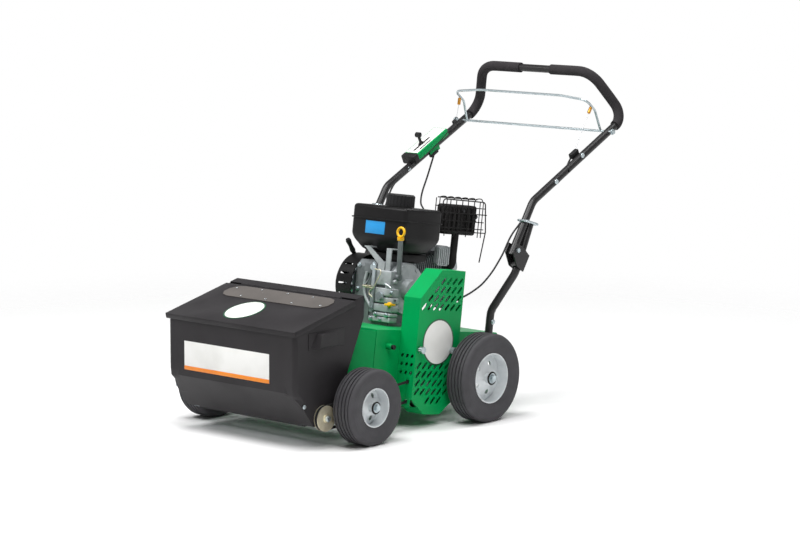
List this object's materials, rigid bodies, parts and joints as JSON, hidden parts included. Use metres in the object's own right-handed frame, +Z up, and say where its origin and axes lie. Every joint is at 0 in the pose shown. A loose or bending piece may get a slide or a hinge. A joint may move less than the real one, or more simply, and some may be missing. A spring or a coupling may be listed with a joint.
{
  "type": "walk-behind lawn overseeder",
  "caption": "Walk-behind lawn overseeder: pitched steel chassis on ribbed tyres with a belt-driven slitting reel, small engine, front seed box with hinged lid and a folding tube handle.",
  "frame": {"origin": "on the ground, at the centre of the overall width and length", "axes": "+Z up, +Y back towards the handle, -Y forward to the seed box, +X towards the belt cover"},
  "size_m": [0.812, 1.5485, 1.071],
  "materials": {
    "green_paint": "glossy",
    "grey_sheet": "satin",
    "tube_black": "glossy",
    "black_paint": "satin",
    "black_plastic": "matte",
    "cable_jacket": "satin",
    "zinc": "satin",
    "yellow_zinc": "satin",
    "blade_steel": "satin",
    "cast_iron": "matte",
    "cast_aluminium": "matte",
    "belt_rubber": "matte",
    "foam": "matte",
    "tyre": "matte",
    "rim_silver": "satin",
    "yellow_plastic": "glossy",
    "clear_plastic": "glossy"
  },
  "bodies": {
    "chassis": {"side_plates": "green_paint", "engine_deck": "green_paint", "front_shield": "green_paint", "belt_cover": "green_paint", "cover_knobs": "zinc", "shaft_bearings": "cast_iron", "wheel_axles": "zinc", "seed_box": "grey_sheet", "hinge_pin": "zinc", "crankcase": "cast_aluminium", "crankcase_cover": "cast_aluminium", "engine_cylinder": "cast_aluminium", "rocker_cover": "zinc", "cylinder_shroud": "cast_aluminium", "muffler": "black_paint", "muffler_guard": "black_paint", "recoil_housing": "black_paint", "fuel_tank": "black_paint", "tank_brackets": "black_paint", "air_cleaner": "black_plastic", "carburettor": "cast_aluminium", "dipstick_tube": "black_paint", "oil_plugs": "yellow_plastic", "drive_belt": "belt_rubber", "seed_belt": "belt_rubber", "lower_handles": "tube_black", "hinge_brackets": "tube_black", "hinge_bolts": "zinc", "clutch_cable": "cable_jacket", "seed_cable": "cable_jacket", "throttle_cable": "cable_jacket"},
    "lid": {"lid": "grey_sheet", "lid_window": "clear_plastic"},
    "front_wheel_left": {"front_tyre_left": "tyre", "front_rim_left": "rim_silver"},
    "front_wheel_right": {"front_tyre_right": "tyre", "front_rim_right": "rim_silver"},
    "rear_wheel_left": {"rear_tyre_left": "tyre", "rear_rim_left": "rim_silver"},
    "rear_wheel_right": {"rear_tyre_right": "tyre", "rear_rim_right": "rim_silver"},
    "reel": {"reel_shaft": "zinc", "reel_blades": "blade_steel", "reel_pulleys": "zinc"},
    "crank": {"crankshaft": "zinc", "drive_pulley": "zinc"},
    "idler": {"idler_arm": "zinc"},
    "seed_roller": {"seed_agitator": "zinc", "seed_pulley": "yellow_zinc"},
    "gate": {"seed_gate": "zinc"},
    "handle": {"upper_handle": "tube_black", "grips": "foam", "lock_rings": "zinc", "throttle_box": "green_paint"},
    "bail": {"bail": "zinc"},
    "throttle": {"throttle_lever": "black_plastic"},
    "cap": {"fuel_cap": "black_plastic"},
    "dipstick": {"dipstick": "yellow_plastic"},
    "starter": {"starter_grip": "black_plastic"},
    "governor": {"governor_lever": "zinc"}
  },
  "joints": [
    {"name": "front_left_roll", "type": "hinge", "parent": "chassis", "child": "front_wheel_left", "pos_m": [-0.3315, -0.51926, 0.1165], "axis": [1, 0, 0], "continuous": true},
    {"name": "front_right_roll", "type": "hinge", "parent": "chassis", "child": "front_wheel_right", "pos_m": [0.3315, -0.51926, 0.1165], "axis": [1, 0, 0], "continuous": true},
    {"name": "rear_left_roll", "type": "hinge", "parent": "chassis", "child": "rear_wheel_left", "pos_m": [-0.361, -0.00826, 0.1397], "axis": [1, 0, 0], "continuous": true},
    {"name": "rear_right_roll", "type": "hinge", "parent": "chassis", "child": "rear_wheel_right", "pos_m": [0.361, -0.00826, 0.1397], "axis": [1, 0, 0], "continuous": true},
    {"name": "reel_spin", "type": "hinge", "parent": "chassis", "child": "reel", "pos_m": [0, -0.17455, 0.12773], "axis": [1, 0, 0], "continuous": true},
    {"name": "crank_spin", "type": "hinge", "parent": "chassis", "child": "crank", "pos_m": [0, -0.08777, 0.4003], "axis": [1, 0, 0], "continuous": true},
    {"name": "seed_spin", "type": "hinge", "parent": "chassis", "child": "seed_roller", "pos_m": [0, -0.64826, 0.092], "axis": [1, 0, 0], "continuous": true},
    {"name": "lid_open", "type": "hinge", "parent": "chassis", "child": "lid", "pos_m": [0, -0.50285, 0.43062], "axis": [1, 0, 0], "range_deg": [-100, 0]},
    {"name": "handle_fold", "type": "hinge", "parent": "chassis", "child": "handle", "pos_m": [0, 0.19574, 0.517], "axis": [1, 0, 0], "range_deg": [0, 130], "deforming": ["clutch_cable", "seed_cable", "throttle_cable"]},
    {"name": "bail_squeeze", "type": "hinge", "parent": "handle", "child": "bail", "pos_m": [0, 0.67974, 0.862], "axis": [-1, 0, 0], "range_deg": [0, 24], "stiffness_Nm_per_rad": 1.5, "springref_deg": -11.46, "deforming": ["clutch_cable", "seed_cable"]},
    {"name": "idler_swing", "type": "hinge", "parent": "chassis", "child": "idler", "pos_m": [0.236, -0.2364, 0.21216], "axis": [-1, 0, 0], "range_deg": [0, 3.7]},
    {"name": "gate_slide", "type": "slide", "parent": "chassis", "child": "gate", "axis": [1, 0, 0], "range_m": [0, 0.0285]},
    {"name": "throttle_swing", "type": "hinge", "parent": "handle", "child": "throttle", "pos_m": [-0.313, 0.47015, 0.79012], "axis": [1, 0, 0], "range_deg": [-30, 30], "deforming": ["throttle_cable"]},
    {"name": "governor_swing", "type": "hinge", "parent": "chassis", "child": "governor", "pos_m": [0.045, -0.18424, 0.3462], "axis": [0, 0.9903, -0.1392], "range_deg": [-12, 12]},
    {"name": "cap_turn", "type": "hinge", "parent": "chassis", "child": "cap", "pos_m": [0.037, -0.04022, 0.638], "axis": [0, 0.1392, 0.9903], "range_deg": [0, 90]},
    {"name": "dipstick_pull", "type": "slide", "parent": "chassis", "child": "dipstick", "axis": [0.0841, -0.0213, 0.9962], "range_m": [0, 0.12]},
    {"name": "starter_pull", "type": "slide", "parent": "chassis", "child": "starter", "axis": [0, -0.527, 0.8498], "range_m": [0, 0.05], "stiffness_N_per_m": 60, "springref_m": -0.02}
  ],
  "couplings": [
    {"joint": "seed_spin", "follows": "reel_spin", "ratio": 0.8028},
    {"joint": "idler_swing", "follows": "bail_squeeze", "ratio": 0.15},
    {"joint": "gate_slide", "follows": "bail_squeeze", "m_per_rad": 0.0668},
    {"joint": "governor_swing", "follows": "throttle_swing", "ratio": 0.35}
  ]
}
